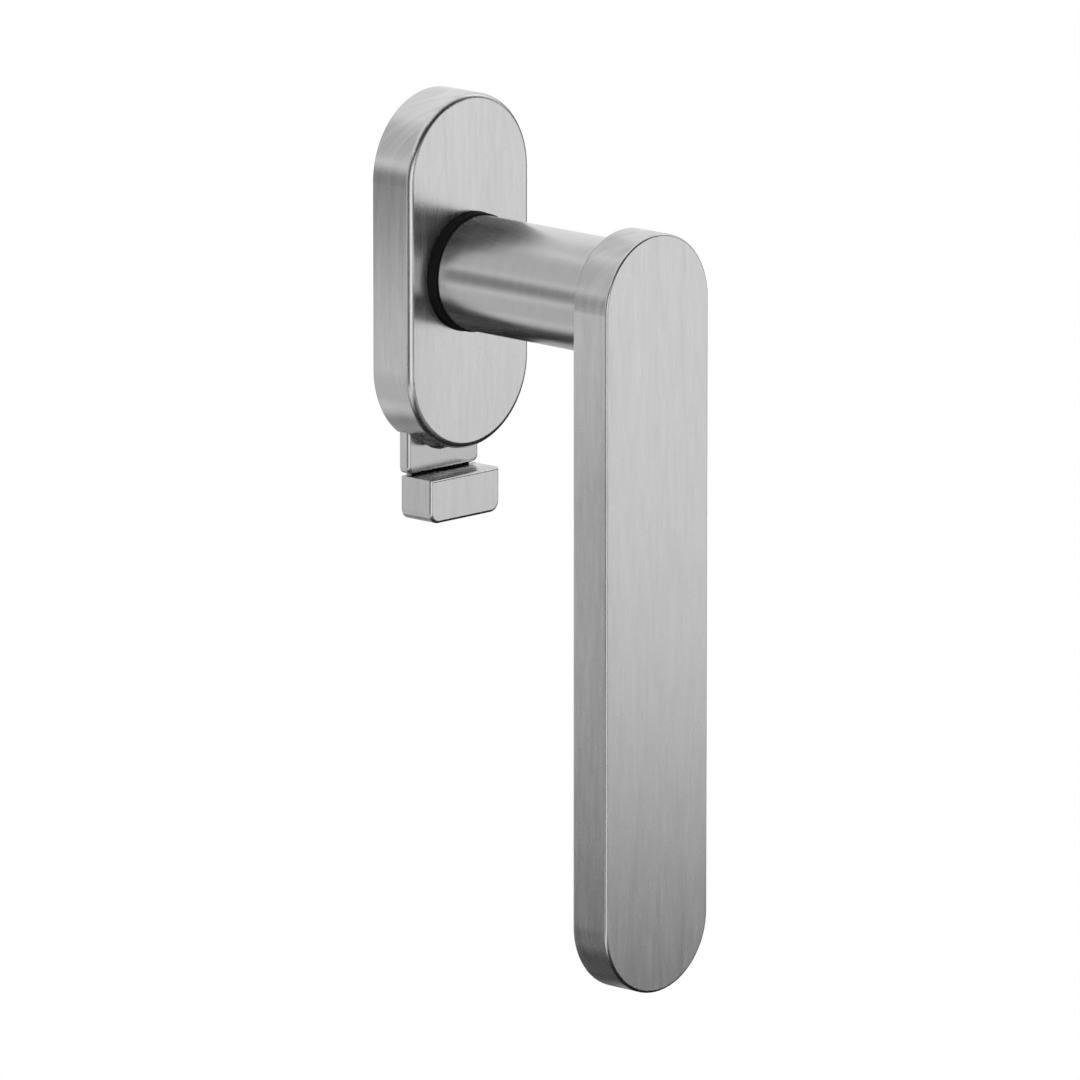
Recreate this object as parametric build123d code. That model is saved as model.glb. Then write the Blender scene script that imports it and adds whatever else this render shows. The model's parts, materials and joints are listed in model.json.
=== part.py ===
from build123d import *
import os
from math import hypot, sqrt

# Window handle with a slide lock. Millimetres, +Z up, the front of the handle faces -Y.
# The origin is where the turning axis meets the back of the rosette.
# A depth is a distance in front of that back plane, so depth d lies at y = -d.

# Rosette cover
rosette_width = 29.2
rosette_height = 62.0
rosette_depth = 8.9
rosette_edge_fillet = 1.05
cover_wall = 1.2
cover_fit = 0.1
cover_collar_gap = 0.15

# Neck and grip
neck_radius = 10.0
neck_standoff = 2.1
neck_edge_chamfer = 0.15
grip_clearance = 36.7
grip_width = 25.0
grip_thickness = 8.0
grip_centre_distance = 107.2
grip_edge_fillet = 0.45

# Stud and dowel between neck and grip
stud_radius = 3.0
stud_length = 21.0
stud_grip_depth = 5.4
stud_key_across_flats = 3.0
stud_key_depth = 3.0
dowel_radius = 1.5
dowel_length = 8.0
dowel_offset = 6.2
pin_fit = 0.02
pin_end_gap = 0.2

# Spindle
spindle_size = 7.0
spindle_behind = 10.0
spindle_in_neck = 14.6
spindle_fit = 0.05
spindle_pin_radius = 1.25
spindle_pin_depth = 6.3
spindle_pin_recess = 0.15

# Bearing
journal_radius = 7.0
journal_fit = 0.05
bush_wall = 1.2
bush_fit = 0.02
collar_overhang = 0.3
collar_end_gap = 0.1
web_depth = 4.6
thrust_gap = 0.05
washer_thickness = 0.5
washer_width = 2.4
ring_thickness = 0.9
ring_groove_depth = 0.5
ring_width = 1.7
ring_offset = 0.5
ring_gap = 2.0
ring_lug_radius = 1.5
ring_lug_hole_radius = 0.6
ring_room = 0.4

# Detent cam and its two leaf springs
cam_across_flats = 15.0
cam_corner_radius = 9.2
cam_notch_width = 5.0
cam_notch_floor = 5.2
cam_room = 0.6
leaf_thickness = 0.5
leaf_length = 24.4
leaf_side_gap = 0.05
leaf_contact_gap = 0.02
leaf_bow_room = 1.1

# Fixing holes and the sheet that closes the back
fixing_spacing = 43.0
fixing_hole_radius = 2.65
fixing_boss_radius = 4.8
fixing_spigot_radius = 4.4
fixing_sink_radius = 5.0
backing_thickness = 0.35
backing_fit = 0.05
spindle_hole_gap = 0.6
post_radius = 1.0
post_inset = 2.1
post_spacing_z = 28.0
rim_wall = 2.0
rib_width = 1.8

# Slide lock
slider_width = 17.2
slider_thickness = 2.1
slider_travel = 4.0
slide_gap = 0.05
slider_side_gap = 0.1
slider_overhang = 4.5
slider_corner_radius = 1.3
slider_edge_fillet = 0.6
slider_head_width = 12.0
slider_bridge = 3.0
shoulder_gap = 0.75
tongue_gap = 0.1
tongue_clearance = 0.4
tail_width = 14.0
tail_length = 6.0
tail_thickness = 1.3
shadow_gap = 0.3
block_width = 16.8
block_height = 7.7
block_back = 0.6
block_front = 7.7
block_corner_radius = 2.0
block_edge_fillet = 0.5
tail_fit = 0.05

# Leaf spring that holds the slider at both ends of its travel
catch_depth = 0.2
catch_reach = 2.1
catch_span = 6.0
catch_thickness = 0.3
catch_above_end = 11.5

# Screws
cover_screw_offset = 4.1
cover_screw_depth = 4.6
cover_screw_head_radius = 2.1
cover_screw_dome = 0.7
cover_screw_radius = 1.0
cover_screw_length = 4.2
slider_screw_spacing = 4.8
slider_screw_drop = 2.8
slider_screw_head_radius = 1.6
slider_screw_radius = 0.9
slider_screw_length = 4.8
screw_slot_width = 0.5
screw_slot_depth = 0.45
screw_fit = 0.03

# Depths that follow from the sizes above
neck_back = rosette_depth + neck_standoff
grip_back = rosette_depth + grip_clearance
grip_front = grip_back + grip_thickness
base_front = rosette_depth - cover_wall
slider_back = backing_thickness + slide_gap
slider_front = slider_back + slider_thickness
tail_front = slider_back + tail_thickness
channel_floor = slider_front + slide_gap
journal_end = channel_floor + slide_gap
washer_front = web_depth - thrust_gap
washer_back = washer_front - washer_thickness
ring_back = washer_back - ring_thickness
socket_end = neck_back + spindle_in_neck
stud_front = grip_back + stud_grip_depth
stud_back = stud_front - stud_length

# Radii and widths that follow
rosette_radius = rosette_width / 2
rosette_arc_centre = rosette_height / 2 - rosette_radius
base_radius = rosette_radius - cover_wall - cover_fit
bush_radius = journal_radius + bush_wall
collar_radius = neck_radius + collar_overhang
ring_inner_radius = journal_radius - ring_groove_depth
ring_outer_radius = ring_inner_radius + ring_width
ring_lug_x = ring_gap / 2 + ring_lug_radius - ring_lug_hole_radius / 2
ring_lug_z = sqrt((ring_outer_radius - ring_offset) ** 2 - ring_lug_x**2)
ring_room_radius = hypot(ring_lug_x, ring_lug_z) + ring_lug_radius + ring_room
socket_size = spindle_size + 2 * spindle_fit
leaf_inner = cam_across_flats / 2 + leaf_contact_gap
leaf_outer = leaf_inner + leaf_thickness
leaf_pocket = leaf_outer + leaf_contact_gap
cam_room_half = cam_corner_radius + cam_room

# Heights on the slider, measured down from the turning axis with the lock open
tongue_tip = cam_corner_radius + tongue_clearance
leaf_end = leaf_length / 2 + leaf_side_gap
shoulder_top = leaf_end + slider_travel + shoulder_gap
slot_radius = fixing_boss_radius + slider_side_gap
slot_top = fixing_spacing / 2
slider_bottom = rosette_height / 2 + slider_overhang
head_top = slot_top - slot_radius - slider_bridge
channel_top = shoulder_top - slider_travel - slider_side_gap
catch_height = rosette_height / 2 - catch_above_end
catch_radius = ((catch_span / 2) ** 2 + catch_reach**2) / (2 * catch_reach)
block_top = slider_bottom + shadow_gap
slider_screw_height = block_top + slider_screw_drop

# Local x is X, local y is Z and the normal points out of the window towards the user
FRONT = Plane(origin=(0, 0, 0), x_dir=(1, 0, 0), z_dir=(0, -1, 0))


def slab(sketch, back, front):
    """Extrude an outline drawn in X and Z between two depths."""
    return extrude(FRONT.offset(back) * sketch, front - back)


def pill(height, width):
    """Upright outline with round ends."""
    return SlotOverall(height, width, rotation=90)


def strip(left, right, low, high):
    """Rectangle between two X and two Z values."""
    return Pos((left + right) / 2, (low + high) / 2) * Rectangle(right - left, high - low)


def front_edges(part):
    return part.faces().sort_by(Axis.Y)[0].edges()


def sink_screw(head_radius, dome, radius, length):
    """Countersunk screw along +Z with its head's rim at z = 0."""
    sink = head_radius - radius
    side = Polyline((0, dome), (0, -length), (radius, -length), (radius, -sink), (head_radius, 0))
    crown = TangentArc((0, dome), (head_radius, 0), tangent=(1, 0)) if dome else Line((head_radius, 0), (0, 0))
    body = revolve(Plane.XZ * make_face(side + crown), Axis.Z)
    slot_size = 2 * (head_radius + dome)
    slot = Pos(0, 0, dome) * Box(slot_size, screw_slot_width, 2 * screw_slot_depth)
    return body - slot


def sink_hole(head_radius, radius, length):
    """Clearance for a countersunk screw along +Z, open above z = 0."""
    head = head_radius + screw_fit
    shank = radius + screw_fit
    below = (Align.CENTER, Align.CENTER, Align.MAX)
    above = (Align.CENTER, Align.CENTER, Align.MIN)
    hole = Cone(shank, head, head - shank, align=below) + Cylinder(shank, length + screw_fit, align=below)
    return hole + Cylinder(head, head, align=above)


def cover_screw_places():
    """Planes on the underside of the rosette, with their normals out of its round end."""
    places = []
    for x in (-cover_screw_offset, cover_screw_offset):
        drop = sqrt(rosette_radius**2 - x**2)
        origin = (x, -cover_screw_depth, -rosette_arc_centre - drop)
        places.append(Plane(origin=origin, x_dir=(0, 1, 0), z_dir=(x, 0, -drop)))
    return places


def slider_screw_places():
    """Planes on the back of the slider's tail, with their normals towards the window."""
    places = []
    for x in (-slider_screw_spacing / 2, slider_screw_spacing / 2):
        origin = (x, -slider_back, -slider_screw_height)
        places.append(Plane(origin=origin, x_dir=(1, 0, 0), z_dir=(0, 1, 0)))
    return places


def fixing_places():
    return [Pos(0, z) for z in (-fixing_spacing / 2, fixing_spacing / 2)]


def post_places():
    half_x = base_radius - post_inset
    half_z = post_spacing_z / 2
    return [Pos(x, z) for x in (-half_x, half_x) for z in (-half_z, half_z)]


def base_outline():
    return pill(rosette_height - 2 * (cover_wall + cover_fit), 2 * base_radius)


def make_rosette_cover():
    cover = slab(pill(rosette_height, rosette_width), 0, rosette_depth)
    cover = fillet(front_edges(cover), rosette_edge_fillet)
    inside = pill(rosette_height - 2 * cover_wall, rosette_width - 2 * cover_wall)
    cover -= slab(inside, 0, base_front)
    cover -= slab(Circle(collar_radius + cover_collar_gap), base_front, rosette_depth)
    half = slider_width / 2 + slider_side_gap
    notch = strip(-half, half, -rosette_height, -rosette_arc_centre)
    cover -= slab(notch, 0, channel_floor)
    for place in cover_screw_places():
        cover -= place * sink_hole(cover_screw_head_radius, cover_screw_radius, cover_screw_length)
    return cover


def upper_pocket():
    """Hollow above the mechanism that leaves a rim, the screw boss and a rib."""
    hollow = pill(rosette_height - 2 * (cover_wall + cover_fit + rim_wall), 2 * (base_radius - rim_wall))
    low = max(leaf_end, post_spacing_z / 2 + post_radius) + rim_wall
    hollow &= strip(-rosette_width, rosette_width, low, rosette_height)
    hollow -= Pos(0, fixing_spacing / 2) * Circle(fixing_boss_radius)
    return hollow - strip(-rib_width / 2, rib_width / 2, low, rosette_height)


def catch_arc(radius):
    """Disc that the slider's leaf spring and its two notches follow."""
    return Pos(slider_width / 2 - catch_depth + catch_radius, -catch_height) * Circle(radius)


def mechanism_pocket():
    """Room at the back of the base plate for the cam, its springs and the slider."""
    bow = leaf_outer + leaf_bow_room + cam_corner_radius - cam_across_flats / 2
    room = Rectangle(2 * bow, 2 * cam_room_half) + Rectangle(2 * leaf_pocket, 2 * leaf_end)
    half = slider_width / 2 + slider_side_gap
    room += strip(-half, half, -rosette_height, -channel_top)
    room += strip(-leaf_pocket, leaf_pocket, -channel_top, 0)
    catch_side = slider_width / 2 - catch_depth + catch_reach
    catch_half = catch_span / 2 + leaf_side_gap
    room += strip(0, catch_side, -catch_height - catch_half, -catch_height + catch_half)
    return room - Pos(0, -fixing_spacing / 2) * Circle(fixing_boss_radius)


def make_base_plate():
    holes = Sketch() + [place * Circle(fixing_hole_radius) for place in fixing_places()]
    spigots = Sketch() + [place * Circle(fixing_spigot_radius) for place in fixing_places()]
    posts = Sketch() + [place * Circle(post_radius) for place in post_places()]
    hollow = upper_pocket()
    base = slab(base_outline() - Circle(bush_radius + bush_fit) - holes, web_depth, base_front)
    base += slab(base_outline() - Circle(ring_room_radius) - hollow - holes, channel_floor, web_depth)
    base += slab(base_outline() - mechanism_pocket() - hollow - holes, backing_thickness, channel_floor)
    base += slab(spigots - holes + posts, 0, backing_thickness)
    sink = fixing_sink_radius - fixing_hole_radius
    cone = Cone(fixing_hole_radius, fixing_sink_radius, sink, align=(Align.CENTER, Align.CENTER, Align.MAX))
    for place in fixing_places():
        base -= FRONT.offset(base_front) * place * cone
    for place in cover_screw_places():
        base -= place * sink_hole(cover_screw_head_radius, cover_screw_radius, cover_screw_length)
    return base


def make_backing_plate():
    outline = base_outline() - Circle(spindle_size / sqrt(2) + spindle_hole_gap)
    for place in fixing_places():
        outline -= place * Circle(fixing_spigot_radius + backing_fit)
    for place in post_places():
        outline -= place * Circle(post_radius + backing_fit)
    return slab(outline, 0, backing_thickness)


def make_bearing_bush():
    bore = Circle(journal_radius + journal_fit)
    collar = slab(Circle(collar_radius) - bore, base_front, neck_back - collar_end_gap)
    return collar + slab(Circle(bush_radius) - bore, web_depth, base_front)


def make_detent_spring(side):
    """Flat leaf on one side of the cam, -1 for the left one and 1 for the right one."""
    middle = side * (leaf_inner + leaf_outer) / 2
    leaf = Pos(middle, 0) * Rectangle(leaf_thickness, leaf_length)
    return slab(leaf, slider_back + leaf_side_gap, slider_front - leaf_side_gap)


def make_slider_spring():
    side = slider_width / 2 - catch_depth
    low = -catch_height - catch_span / 2
    high = -catch_height + catch_span / 2
    window = strip(side - catch_thickness, side + catch_reach, low, high)
    bow = (catch_arc(catch_radius) - catch_arc(catch_radius - catch_thickness)) & window
    return slab(bow, slider_back + leaf_side_gap, slider_front - leaf_side_gap)


def make_cover_screws():
    screw = sink_screw(cover_screw_head_radius, cover_screw_dome, cover_screw_radius, cover_screw_length)
    return Compound(children=[place * screw for place in cover_screw_places()])


def make_neck():
    neck = slab(Circle(neck_radius), neck_back, grip_back)
    neck = chamfer(neck.edges().sort_by(Axis.Y)[-1], neck_edge_chamfer)
    neck += slab(Circle(journal_radius), journal_end, neck_back)
    groove = Circle(neck_radius) - Circle(ring_inner_radius)
    neck -= slab(groove, ring_back, washer_back)
    neck -= slab(Rectangle(socket_size, socket_size), journal_end, socket_end)
    neck -= slab(Circle(stud_radius + pin_fit), socket_end, grip_back)
    neck -= dowel(dowel_radius + pin_fit, dowel_length / 2 + pin_end_gap)
    neck -= spindle_pin(spindle_pin_radius + pin_fit, journal_radius)
    return neck


def make_grip():
    centre = Pos(0, -grip_centre_distance / 2)
    grip = slab(centre * pill(grip_centre_distance + grip_width, grip_width), grip_back, grip_front)
    rims = grip.faces().filter_by(Axis.Y).edges()
    grip = fillet(rims, grip_edge_fillet)
    grip -= slab(Circle(stud_radius + pin_fit), grip_back, stud_front + pin_end_gap)
    grip -= dowel(dowel_radius + pin_fit, dowel_length / 2 + pin_end_gap)
    return grip


def dowel(radius, half_length):
    return slab(Pos(0, dowel_offset) * Circle(radius), grip_back - half_length, grip_back + half_length)


def spindle_pin(radius, half_length):
    across = Plane(origin=(-half_length, -spindle_pin_depth, 0), z_dir=(1, 0, 0))
    return extrude(across * Circle(radius), 2 * half_length)


def make_grip_stud():
    stud = slab(Circle(stud_radius), stud_back, stud_front)
    key = RegularPolygon(stud_key_across_flats / sqrt(3), 6)
    return stud - slab(key, stud_back, stud_back + stud_key_depth)


def make_spindle():
    bar = slab(Rectangle(spindle_size, spindle_size), -spindle_behind, socket_end - pin_end_gap)
    return bar - spindle_pin(spindle_pin_radius + pin_fit, journal_radius)


def make_thrust_washer():
    inner = journal_radius + journal_fit
    return slab(Circle(inner + washer_width) - Circle(inner), washer_back, washer_front)


def make_retaining_ring():
    lugs = [Pos(x, -ring_lug_z) for x in (-ring_lug_x, ring_lug_x)]
    ring = Pos(0, ring_offset) * Circle(ring_outer_radius)
    for lug in lugs:
        ring += lug * Circle(ring_lug_radius)
    ring -= Circle(ring_inner_radius + pin_fit)
    ring -= strip(-ring_gap / 2, ring_gap / 2, -2 * ring_outer_radius, 0)
    for lug in lugs:
        ring -= lug * Circle(ring_lug_hole_radius)
    return slab(ring, ring_back, washer_back)


def make_detent_cam():
    cam = Rectangle(cam_across_flats, cam_across_flats) & Circle(cam_corner_radius)
    cam -= Rectangle(socket_size, socket_size)
    half = cam_notch_width / 2
    notch = strip(-half, half, -cam_corner_radius, -cam_notch_floor)
    for quarter in range(4):
        cam -= Rot(0, 0, 90 * quarter) * notch
    return slab(cam, slider_back, slider_front)


def make_slider_plate():
    half = slider_width / 2
    plate = strip(-half, half, -slider_bottom, -shoulder_top)
    plate = fillet(plate.vertices().group_by(Axis.Y)[0], slider_corner_radius)
    plate = slab(plate, slider_back, slider_front)
    rims = [e for e in front_edges(plate) if e.center().Z < -shoulder_top]
    plate = fillet(rims, slider_edge_fillet)
    head_half = slider_head_width / 2
    head = strip(-head_half, head_half, -shoulder_top, -head_top)
    tongue_half = cam_notch_width / 2 - tongue_gap
    head += strip(-tongue_half, tongue_half, -head_top, -tongue_tip)
    tail_half = tail_width / 2
    tail = strip(-tail_half, tail_half, -slider_bottom - tail_length, -slider_bottom + slider_corner_radius)
    plate += slab(head, slider_back, slider_front)
    plate += slab(tail, slider_back, tail_front)
    slot = SlotCenterToCenter(slider_travel, 2 * slot_radius, rotation=90)
    cuts = Pos(0, -slot_top - slider_travel / 2) * slot
    for notch in (0, slider_travel):
        cuts += Pos(0, -notch) * catch_arc(catch_radius + leaf_contact_gap)
    plate -= slab(cuts, slider_back, slider_front)
    for place in slider_screw_places():
        plate -= place * sink_hole(slider_screw_head_radius, slider_screw_radius, slider_screw_length)
    return plate


def make_slider_block():
    half = block_width / 2
    block = strip(-half, half, -block_top - block_height, -block_top)
    block = fillet(block.vertices().group_by(Axis.Y)[0], block_corner_radius)
    block = slab(block, block_back, block_front)
    block = fillet(front_edges(block), block_edge_fillet)
    groove_half = tail_width / 2 + tail_fit
    floor = slider_bottom + tail_length + tail_fit
    block -= slab(strip(-groove_half, groove_half, -floor, -block_top), block_back, tail_front)
    for place in slider_screw_places():
        block -= place * sink_hole(slider_screw_head_radius, slider_screw_radius, slider_screw_length)
    return block


def make_slider_screws():
    screw = sink_screw(slider_screw_head_radius, 0, slider_screw_radius, slider_screw_length)
    return Compound(children=[place * screw for place in slider_screw_places()])


nodes = {
    "rosette_cover": make_rosette_cover(),
    "base_plate": make_base_plate(),
    "backing_plate": make_backing_plate(),
    "bearing_bush": make_bearing_bush(),
    "left_detent_spring": make_detent_spring(-1),
    "right_detent_spring": make_detent_spring(1),
    "slider_spring": make_slider_spring(),
    "cover_screws": make_cover_screws(),
    "neck": make_neck(),
    "grip": make_grip(),
    "grip_stud": make_grip_stud(),
    "grip_dowel": dowel(dowel_radius, dowel_length / 2),
    "spindle": make_spindle(),
    "spindle_pin": spindle_pin(spindle_pin_radius, journal_radius - spindle_pin_recess),
    "thrust_washer": make_thrust_washer(),
    "retaining_ring": make_retaining_ring(),
    "detent_cam": make_detent_cam(),
    "slider_plate": make_slider_plate(),
    "slider_block": make_slider_block(),
    "slider_screws": make_slider_screws(),
}

os.makedirs("parts", exist_ok=True)
for name, shape in nodes.items():
    export_step(shape, f"parts/{name}.step")
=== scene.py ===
import json
from collections import namedtuple
from math import cos, radians, sin

import bpy
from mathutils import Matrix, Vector

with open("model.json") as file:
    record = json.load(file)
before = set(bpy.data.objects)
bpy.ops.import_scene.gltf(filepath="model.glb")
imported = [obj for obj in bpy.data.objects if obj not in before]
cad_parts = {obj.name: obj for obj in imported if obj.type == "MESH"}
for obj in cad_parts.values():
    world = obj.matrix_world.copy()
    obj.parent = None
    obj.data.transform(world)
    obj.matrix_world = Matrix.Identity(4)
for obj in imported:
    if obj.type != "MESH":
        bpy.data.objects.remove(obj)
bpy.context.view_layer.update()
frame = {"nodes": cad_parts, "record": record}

# Lengths are in metres. X is right, Y goes into the window and Z is up.

# Camera, a long lens in front of the handle's left side and a little above it
VIEW_AZIMUTH = radians(45.693)
VIEW_PITCH = radians(12.145)
VIEW_DISTANCE = 2.604
VIEW_AIM = Vector((-0.00455, -0.03012, -0.04331))
VIEW_END = 100.0
LENS = 507.5
SENSOR = 36.0

# Brushed steel, with waves per metre across and along the strokes and wider bands laid over them
GRAIN_ACROSS = 900.0
GRAIN_ALONG = 110.0
BAND_ACROSS = 300.0
BAND_ALONG = 20.0
BAND_SHARE = 0.3
BRUSH_DETAIL = 1.0
BRUSH_DEPTH = 2e-6
BRUSH_STRENGTH = 0.25
BRUSH_ANISOTROPY = 0.7
CORNER = radians(45.0)
FLAT_TONES = (0.55, 0.67)
FLAT_ROUGHNESS = (0.25, 0.29)
ROUND_TONES = (0.585, 0.635)
ROUND_ROUGHNESS = (0.22, 0.26)
QUARTER_TURN = 0.25

# Other finishes, in waves per metre
PLATING_MOTTLE = 180.0
PLATING_GRAIN = 2500.0
ROLLING_ACROSS = 3000.0
ROLLING_ALONG = 90.0
DIE_CLOUD = 120.0
DIE_SKIN = 1800.0
MOULD_SKIN = 4000.0

# Limits that a noise seldom leaves
NOISE_RANGE = (0.25, 0.75)
UNIT_RANGE = (0.0, 1.0)

# Places on the slider, behind the front of its plate and above the top of its block: the plate's front face,
# which is darkened towards grey, a painted highlight along its lower rim and painted shade in the slit under
# it
Place = namedtuple("Place", "depths heights tone share")
FACE = Place(depths=(-0.00010, 0.00010), heights=(0.00094, 0.00880), tone=0.45, share=0.5)
# Painted highlight: a near-white grey laid over the plate's rounded lower edge
RIM_HIGHLIGHT = Place(depths=(-0.00010, 0.00050), heights=(0.00044, 0.00086), tone=0.95, share=0.8)
# Painted shade: near-black laid in the slit between the plate and the block
SLIT_SHADE = Place(depths=(0.00005, 0.00090), heights=(-0.00002, 0.00040), tone=0.01, share=1.0)
PLACE_SOFT = 0.00005
SLIDER_NODES = ("slider_plate", "slider_block")

# Corners sharper than this keep a crease in the shading
CREASE = radians(32.0)

# Studio
WHITE = (1.0, 1.0, 1.0, 1.0)
AMBIENT = 0.7
FLOOR_HEIGHT = -0.46
FLOOR_SIZE = 40.0
FLOOR_COLOUR = (0.80, 0.80, 0.80, 1.0)
FLOOR_ROUGHNESS = 0.9
PALE_CENTRE = Vector((0.20, -0.20, 0.0))
PALE_RADIUS = 0.40
WHITE_RADIUS = 0.70
STUDIO_CENTRE = Vector((0.0, -0.03, -0.04))
STUDIO_RADIUS = 1.0
CARD_STEPS = 24
CARD_FADE = 0.2


def new_tree(name):
    material = bpy.data.materials.new(name)
    material.use_nodes = True
    return material, material.node_tree


def shader_of(tree):
    return tree.nodes["Principled BSDF"]


def coordinates(tree):
    """Place in the object's own frame."""
    return tree.nodes.new("ShaderNodeTexCoord").outputs["Object"]


def noise(tree, per_metre, detail=2.0, turn=0.0):
    """Noise in the object's frame turned about Z, with its own waves per metre along X, Y and Z."""
    stretch = tree.nodes.new("ShaderNodeMapping")
    stretch.vector_type = "TEXTURE"
    stretch.inputs["Rotation"].default_value = (0.0, 0.0, turn)
    stretch.inputs["Scale"].default_value = [1.0 / waves for waves in per_metre]
    tree.links.new(coordinates(tree), stretch.inputs["Vector"])
    cloud = tree.nodes.new("ShaderNodeTexNoise")
    cloud.inputs["Scale"].default_value = 1.0
    cloud.inputs["Detail"].default_value = detail
    tree.links.new(stretch.outputs["Vector"], cloud.inputs["Vector"])
    return cloud.outputs["Fac"]


def even(waves):
    """The same number of waves along X, Y and Z."""
    return (waves, waves, waves)


def map_range(tree, value, source, target=UNIT_RANGE, interpolation="LINEAR"):
    """Carry a value from one range over to another, held at both ends."""
    carry = tree.nodes.new("ShaderNodeMapRange")
    carry.interpolation_type = interpolation
    carry.inputs["From Min"].default_value, carry.inputs["From Max"].default_value = source
    carry.inputs["To Min"].default_value, carry.inputs["To Max"].default_value = target
    tree.links.new(value, carry.inputs["Value"])
    return carry.outputs["Result"]


def maths(tree, operation, first, second):
    result = tree.nodes.new("ShaderNodeMath")
    result.operation = operation
    tree.links.new(first, result.inputs[0])
    tree.links.new(second, result.inputs[1])
    return result.outputs["Value"]


def overlay(tree, first, second, share):
    """First value with a share of the second one laid over it."""
    mix = tree.nodes.new("ShaderNodeMix")
    mix.inputs["Factor"].default_value = share
    tree.links.new(first, mix.inputs["A"])
    tree.links.new(second, mix.inputs["B"])
    return mix.outputs["Result"]


def mix_towards(tree, share, colour):
    """Colour mix that ends at the given colour, with its start left open."""
    mix = tree.nodes.new("ShaderNodeMix")
    mix.data_type = "RGBA"
    mix.inputs["B"].default_value = (*colour, 1.0)
    tree.links.new(share, mix.inputs["Factor"])
    return mix


def blend_colours(tree, value, dark, light):
    """Colour between two limits, driven by a noise."""
    mix = mix_towards(tree, map_range(tree, value, NOISE_RANGE), light)
    mix.inputs["A"].default_value = (*dark, 1.0)
    return mix.outputs["Result"]


def relief(tree, value, depth, strength):
    bump = tree.nodes.new("ShaderNodeBump")
    bump.inputs["Distance"].default_value = depth
    bump.inputs["Strength"].default_value = strength
    tree.links.new(value, bump.inputs["Height"])
    return bump.outputs["Normal"]


def set_surface(tree, metallic, colour, roughness, normal):
    shader = shader_of(tree)
    shader.inputs["Metallic"].default_value = metallic
    tree.links.new(colour, shader.inputs["Base Color"])
    tree.links.new(roughness, shader.inputs["Roughness"])
    tree.links.new(normal, shader.inputs["Normal"])
    return shader


def brushed_steel(name, grain, band, turn, tones, roughness, axis, rotation):
    """Satin stainless steel. The gloss is drawn out across the strokes of the brush."""
    material, tree = new_tree(name)
    fine = noise(tree, grain, BRUSH_DETAIL, turn)
    strokes = overlay(tree, fine, noise(tree, band, BRUSH_DETAIL, turn), BAND_SHARE)
    dark, light = tones
    shader = set_surface(
        tree,
        metallic=1.0,
        colour=blend_colours(tree, strokes, dark=(dark, dark, dark), light=(light, light, light)),
        roughness=map_range(tree, strokes, NOISE_RANGE, roughness),
        normal=relief(tree, fine, BRUSH_DEPTH, BRUSH_STRENGTH),
    )
    shader.inputs["Anisotropic"].default_value = BRUSH_ANISOTROPY
    shader.inputs["Anisotropic Rotation"].default_value = rotation
    tangent = tree.nodes.new("ShaderNodeTangent")
    tangent.direction_type = "RADIAL"
    tangent.axis = axis
    tree.links.new(tangent.outputs["Tangent"], shader.inputs["Tangent"])
    return material


def satin_steel(name="satin_steel"):
    """Flat pieces, brushed up and down, and across the corner on their ends."""
    grain = (GRAIN_ACROSS / cos(CORNER), GRAIN_ALONG, GRAIN_ALONG)
    band = (BAND_ACROSS / cos(CORNER), BAND_ALONG, BAND_ALONG)
    return brushed_steel(name, grain, band, CORNER, FLAT_TONES, FLAT_ROUGHNESS, axis="Z", rotation=0.0)


def turned_steel():
    """Round bar, brushed round its axis."""
    grain = (GRAIN_ALONG, GRAIN_ACROSS, GRAIN_ALONG)
    band = (BAND_ALONG, BAND_ACROSS, BAND_ALONG)
    return brushed_steel("turned_steel", grain, band, 0.0, ROUND_TONES, ROUND_ROUGHNESS,
                         axis="Y", rotation=QUARTER_TURN)


def between(tree, value, start, limits):
    """1 between two limits, counted from a start."""
    low, high = (start + limit for limit in limits)
    above = map_range(tree, value, (low - PLACE_SOFT, low + PLACE_SOFT))
    below = map_range(tree, value, (high + PLACE_SOFT, high - PLACE_SOFT))
    return maths(tree, "MULTIPLY", above, below)


def tint(tree, place):
    """Lay a share of a grey over the colour in one place of the slider: the darker face, painted highlight
    or painted shade.
    """
    plate_front = min(corner[1] for corner in frame["nodes"]["slider_plate"].bound_box)
    block_top = max(corner[2] for corner in frame["nodes"]["slider_block"].bound_box)
    axes = tree.nodes.new("ShaderNodeSeparateXYZ")
    tree.links.new(coordinates(tree), axes.inputs["Vector"])
    in_depth = between(tree, axes.outputs["Y"], plate_front, place.depths)
    in_height = between(tree, axes.outputs["Z"], block_top, place.heights)
    inside = maths(tree, "MULTIPLY", in_depth, in_height)
    share = map_range(tree, inside, UNIT_RANGE, (0.0, place.share))
    mix = mix_towards(tree, share, (place.tone, place.tone, place.tone))
    colour = shader_of(tree).inputs["Base Color"]
    tree.links.new(colour.links[0].from_socket, mix.inputs["A"])
    tree.links.new(mix.outputs["Result"], colour)


def slider_steel():
    """The flat pieces' steel, with the plate's darker face, painted highlight on its lower rim and painted
    shade in the slit under it.
    """
    material = satin_steel("slider_steel")
    for place in (FACE, RIM_HIGHLIGHT, SLIT_SHADE):
        tint(material.node_tree, place)
    return material


def plated_steel():
    """Zinc plating, with a faint mottle from blue to yellow."""
    material, tree = new_tree("plated_steel")
    mottle = noise(tree, even(PLATING_MOTTLE), detail=4.0)
    grain = noise(tree, even(PLATING_GRAIN))
    set_surface(
        tree,
        metallic=1.0,
        colour=blend_colours(tree, mottle, dark=(0.50, 0.53, 0.57), light=(0.60, 0.59, 0.56)),
        roughness=map_range(tree, mottle, NOISE_RANGE, (0.16, 0.26)),
        normal=relief(tree, grain, depth=4e-6, strength=0.2),
    )
    return material


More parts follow.
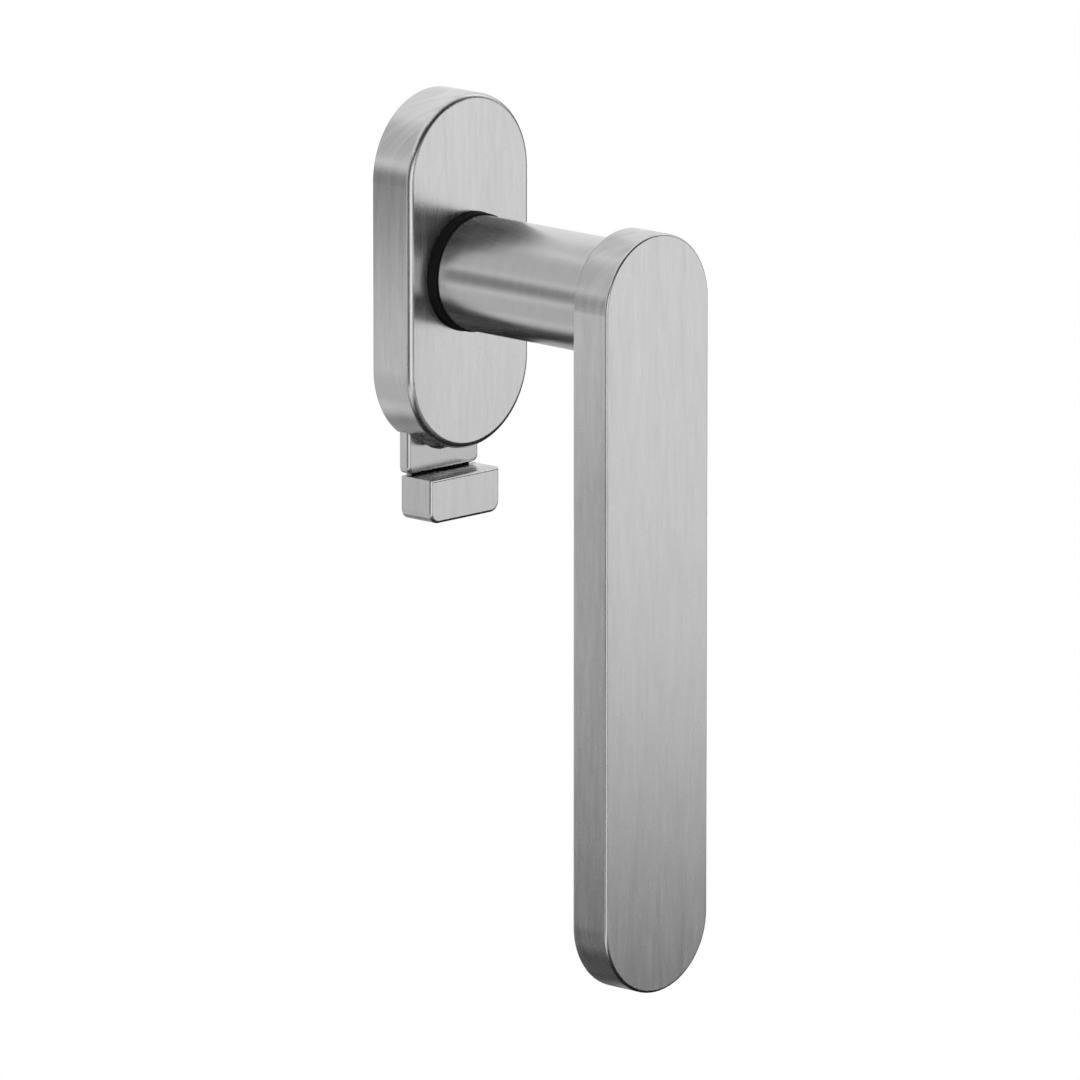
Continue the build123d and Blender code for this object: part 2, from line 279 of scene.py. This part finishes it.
def spring_steel():
    """Rolled strip, blue-grey, with rolling lines along its length."""
    material, tree = new_tree("spring_steel")
    lines = noise(tree, (ROLLING_ACROSS, ROLLING_ACROSS, ROLLING_ALONG))
    set_surface(
        tree,
        metallic=1.0,
        colour=blend_colours(tree, lines, dark=(0.31, 0.33, 0.37), light=(0.41, 0.41, 0.42)),
        roughness=map_range(tree, lines, NOISE_RANGE, (0.28, 0.40)),
        normal=relief(tree, lines, depth=3e-6, strength=0.5),
    )
    return material


def cast_zinc():
    """Bare pressure-cast zinc, dull and faintly cloudy from the die."""
    material, tree = new_tree("cast_zinc")
    cloud = noise(tree, even(DIE_CLOUD), detail=5.0)
    skin = noise(tree, even(DIE_SKIN), detail=3.0)
    set_surface(
        tree,
        metallic=0.85,
        colour=blend_colours(tree, cloud, dark=(0.36, 0.37, 0.38), light=(0.47, 0.48, 0.49)),
        roughness=map_range(tree, cloud, NOISE_RANGE, (0.46, 0.60)),
        normal=relief(tree, skin, depth=12e-6, strength=0.6),
    )
    return material


def black_plastic():
    """Moulded acetal, matt black with a fine spark-eroded skin."""
    material, tree = new_tree("black_plastic")
    skin = noise(tree, even(MOULD_SKIN), detail=3.0)
    shader = set_surface(
        tree,
        metallic=0.0,
        colour=blend_colours(tree, skin, dark=(0.006, 0.006, 0.006), light=(0.010, 0.010, 0.010)),
        roughness=map_range(tree, skin, NOISE_RANGE, (0.42, 0.55)),
        normal=relief(tree, skin, depth=8e-6, strength=0.5),
    )
    shader.inputs["Specular IOR Level"].default_value = 0.08
    return material


def dress_nodes():
    """Give each CAD node the finish of its slot in the record, and the slider's flat pieces their own."""
    makers = (satin_steel, slider_steel, turned_steel, plated_steel, spring_steel, cast_zinc, black_plastic)
    finishes = {maker.__name__: maker() for maker in makers}
    for part in frame["record"]["subparts"]:
        name = "slider_steel" if part["node"] in SLIDER_NODES else part["material_slot"]
        mesh = frame["nodes"][part["node"]].data
        mesh.materials.clear()
        mesh.materials.append(finishes[name])
        mesh.shade_smooth()
        mesh.set_sharp_from_angle(angle=CREASE)


def seen_directly(tree):
    """1 for what the camera, a reflection or a refraction sees, 0 for diffuse light."""
    path = tree.nodes.new("ShaderNodeLightPath")
    camera_or_glossy = maths(tree, "MAXIMUM", path.outputs["Is Camera Ray"], path.outputs["Is Glossy Ray"])
    return maths(tree, "MAXIMUM", camera_or_glossy, path.outputs["Is Transmission Ray"])


def make_world():
    """White to look at, and a little dimmer as light."""
    world = bpy.data.worlds.new("studio")
    world.use_nodes = True
    tree = world.node_tree
    sky = tree.nodes["Background"]
    sky.inputs["Color"].default_value = WHITE
    level = map_range(tree, seen_directly(tree), UNIT_RANGE, (AMBIENT, 1.0))
    tree.links.new(level, sky.inputs["Strength"])
    bpy.context.scene.world = world


def show_mix(material, share, first, second):
    """Make a mix of two shaders the material's surface. It isn't sampled as a lamp."""
    tree = material.node_tree
    mix = tree.nodes.new("ShaderNodeMixShader")
    tree.links.new(share, mix.inputs["Fac"])
    tree.links.new(first, mix.inputs[1])
    tree.links.new(second, mix.inputs[2])
    tree.links.new(mix.outputs["Shader"], tree.nodes["Material Output"].inputs["Surface"])
    material.cycles.emission_sampling = "NONE"


def floor_material():
    """Pale floor near the object that turns into the white of the background further out."""
    material, tree = new_tree("floor")
    pale = shader_of(tree)
    pale.inputs["Base Color"].default_value = FLOOR_COLOUR
    pale.inputs["Roughness"].default_value = FLOOR_ROUGHNESS
    apart = tree.nodes.new("ShaderNodeVectorMath")
    apart.operation = "DISTANCE"
    apart.inputs[1].default_value = PALE_CENTRE
    tree.links.new(coordinates(tree), apart.inputs[0])
    fade = map_range(tree, apart.outputs["Value"], (PALE_RADIUS, WHITE_RADIUS), interpolation="SMOOTHSTEP")
    share = maths(tree, "MULTIPLY", fade, seen_directly(tree))
    white = tree.nodes.new("ShaderNodeEmission")
    show_mix(material, share, pale.outputs["BSDF"], white.outputs["Emission"])
    return material


def new_sheet(name, points, faces, material):
    mesh = bpy.data.meshes.new(name)
    mesh.from_pydata(points, [], faces)
    mesh.materials.append(material)
    sheet = bpy.data.objects.new(name, mesh)
    bpy.context.scene.collection.objects.link(sheet)
    return sheet


def make_floor():
    half = FLOOR_SIZE / 2
    corners = [(-half, -half, 0.0), (half, -half, 0.0), (half, half, 0.0), (-half, half, 0.0)]
    floor = new_sheet("floor", corners, [(0, 1, 2, 3)], floor_material())
    floor.location.z = FLOOR_HEIGHT


def outward(azimuth, elevation=0.0):
    """Unit vector. Azimuth 0 is in front of the handle, 90 on its right, and elevation 90 overhead."""
    turn = radians(azimuth)
    lift = radians(elevation)
    return Vector((sin(turn) * cos(lift), -cos(turn) * cos(lift), sin(lift)))


def aim(thing, target):
    """Turn a camera or lamp so that its own -Z points at a place."""
    thing.rotation_euler = (target - thing.location).to_track_quat("-Z", "Y").to_euler()


def ramp(value, soft):
    """Smooth step from 0 at value 0 to 1 at value soft."""
    share = min(max(value / soft, 0.0), 1.0)
    return share * share * (3.0 - 2.0 * share)


def window(value, soft_first, soft_last):
    """1 in the middle of 0 to 1, fading to 0 at each end over its own share."""
    return ramp(value, soft_first) * ramp(1.0 - value, soft_last)


def card_material(name, level):
    """Plain grey light, thinned out by the sheet's own cover values."""
    material, tree = new_tree(name)
    shade = tree.nodes.new("ShaderNodeEmission")
    shade.inputs["Strength"].default_value = level
    clear = tree.nodes.new("ShaderNodeBsdfTransparent")
    cover = tree.nodes.new("ShaderNodeAttribute")
    cover.attribute_name = "cover"
    show_mix(material, cover.outputs["Fac"], clear.outputs["BSDF"], shade.outputs["Emission"])
    return material


def reflection_card(name, place, cover, level):
    """Studio card that only shows in reflections, a grid of points over two shares from 0 to 1."""
    row = CARD_STEPS + 1
    shares = [(u / CARD_STEPS, v / CARD_STEPS) for v in range(row) for u in range(row)]
    points = [place(u, v) for u, v in shares]
    firsts = [v * row + u for v in range(CARD_STEPS) for u in range(CARD_STEPS)]
    faces = [(first, first + 1, first + row + 1, first + row) for first in firsts]
    card = new_sheet(name, points, faces, card_material(name, level))
    values = card.data.attributes.new("cover", "FLOAT", "POINT")
    values.data.foreach_set("value", [cover(u, v) for u, v in shares])
    card.visible_camera = False
    card.visible_diffuse = False
    card.visible_transmission = False
    card.visible_shadow = False


def curved_card(name, radius, azimuths, heights, level, sides=CARD_FADE, bottom=CARD_FADE, top=CARD_FADE):
    """Upright card bent round the handle, with the shares of its width and height that fade out."""
    first, last = azimuths
    low, high = heights

    def place(u, v):
        around = STUDIO_CENTRE + radius * outward(first + u * (last - first))
        return Vector((around.x, around.y, low + v * (high - low)))

    def cover(u, v):
        return window(u, sides, sides) * window(v, bottom, top)

    reflection_card(name, place, cover, level)


def ground_card(name, centre, lift, inner, outer, level):
    """Round card just over the floor, full out to the inner radius and thinning out to the outer one."""
    middle = Vector((*centre, FLOOR_HEIGHT + lift))
    full = inner / outer

    def place(u, v):
        return middle + outer * v * outward(360.0 * u)

    def cover(u, v):
        return 1.0 - ramp(v - full, 1.0 - full)

    reflection_card(name, place, cover, level)


def make_front_cards():
    """What front faces and edges towards the camera mirror: lights between dark panels and strips."""
    curved_card("front_panel", STUDIO_RADIUS, azimuths=(5.0, 64.0), heights=(0.02, 1.8), level=0.02,
                sides=0.15, bottom=0.08, top=0.08)
    curved_card("camera_panel", STUDIO_RADIUS, azimuths=(-60.0, 24.0), heights=(0.2, 1.8), level=0.02,
                sides=0.15, bottom=0.08, top=0.08)
    curved_card("plate_light", radius=0.9, azimuths=(52.0, 82.0), heights=(0.36, 1.0), level=1.7,
                sides=0.1, bottom=0.1, top=0.1)
    curved_card("front_light", radius=1.5, azimuths=(14.0, 80.0), heights=(-0.455, 0.0), level=1.12,
                bottom=0.04)
    curved_card("front_strip", STUDIO_RADIUS, azimuths=(-6.0, 24.0), heights=(-0.55, 0.3), level=0.10)
    curved_card("right_strip", STUDIO_RADIUS, azimuths=(72.0, 128.0), heights=(-0.55, 0.3), level=0.03,
                sides=0.12)
    curved_card("camera_light", radius=1.1, azimuths=(314.0, 354.0), heights=(-0.44, 0.2), level=1.5,
                sides=0.15)


def make_left_cards():
    """What the left sides mirror: greys on the left and behind."""
    curved_card("left_strip", STUDIO_RADIUS, azimuths=(258.0, 314.0), heights=(-0.60, 0.6), level=0.08,
                sides=0.15)
    curved_card("left_back_card", radius=0.17, azimuths=(195.0, 250.0), heights=(-0.042, 0.05), level=0.26,
                bottom=0.4, top=0.4)
    curved_card("grip_card", radius=0.15, azimuths=(229.0, 262.0), heights=(-0.20, -0.03), level=0.42)
    curved_card("grip_foot_card", radius=0.148, azimuths=(222.0, 262.0), heights=(-0.30, -0.085), level=0.03,
                top=0.4)
    curved_card("grip_top_card", radius=0.018, azimuths=(120.0, 240.0), heights=(0.033, 0.075), level=0.75,
                sides=0.1, bottom=0.1, top=0.1)
    curved_card("low_back_card", radius=0.146, azimuths=(165.0, 245.0), heights=(-0.42, -0.12), level=0.10,
                top=0.4)
    curved_card("left_low_card", radius=0.36, azimuths=(190.0, 255.0), heights=(-0.32, -0.08), level=0.68)
    curved_card("left_far_card", STUDIO_RADIUS, azimuths=(190.0, 255.0), heights=(-0.35, 0.0), level=0.80)
    curved_card("left_high_card", STUDIO_RADIUS, azimuths=(185.0, 255.0), heights=(0.15, 1.2), level=0.62)


def make_ground_cards():
    """What the undersides mirror: dark ground in front and a pale patch behind."""
    ground_card("ground_dark", centre=(0.70, -0.42), lift=0.002, inner=1.1, outer=1.16, level=0.02)
    ground_card("ground_pale", centre=(0.15, 0.85), lift=0.003, inner=0.45, outer=0.56, level=0.58)


def make_lamp(name, azimuth, elevation, distance, size, watts):
    light = bpy.data.lights.new(name, "AREA")
    light.shape = "DISK"
    light.size = size
    light.energy = watts
    lamp = bpy.data.objects.new(name, light)
    lamp.location = STUDIO_CENTRE + distance * outward(azimuth, elevation)
    aim(lamp, STUDIO_CENTRE)
    lamp.visible_camera = False
    lamp.visible_glossy = False
    bpy.context.scene.collection.objects.link(lamp)


def make_camera():
    lens = bpy.data.cameras.new("camera")
    lens.lens = LENS
    lens.sensor_width = SENSOR
    lens.clip_end = VIEW_END
    camera = bpy.data.objects.new("camera", lens)
    flat = cos(VIEW_PITCH)
    ahead = Vector((sin(VIEW_AZIMUTH) * flat, cos(VIEW_AZIMUTH) * flat, -sin(VIEW_PITCH)))
    camera.location = VIEW_AIM - VIEW_DISTANCE * ahead
    aim(camera, VIEW_AIM)
    bpy.context.scene.collection.objects.link(camera)
    bpy.context.scene.camera = camera


dress_nodes()
make_world()
make_floor()
make_front_cards()
make_left_cards()
make_ground_cards()
make_lamp("overhead", azimuth=300.0, elevation=60.0, distance=1.3, size=1.2, watts=6.0)
make_camera()
bpy.context.scene.view_settings.view_transform = "Standard"
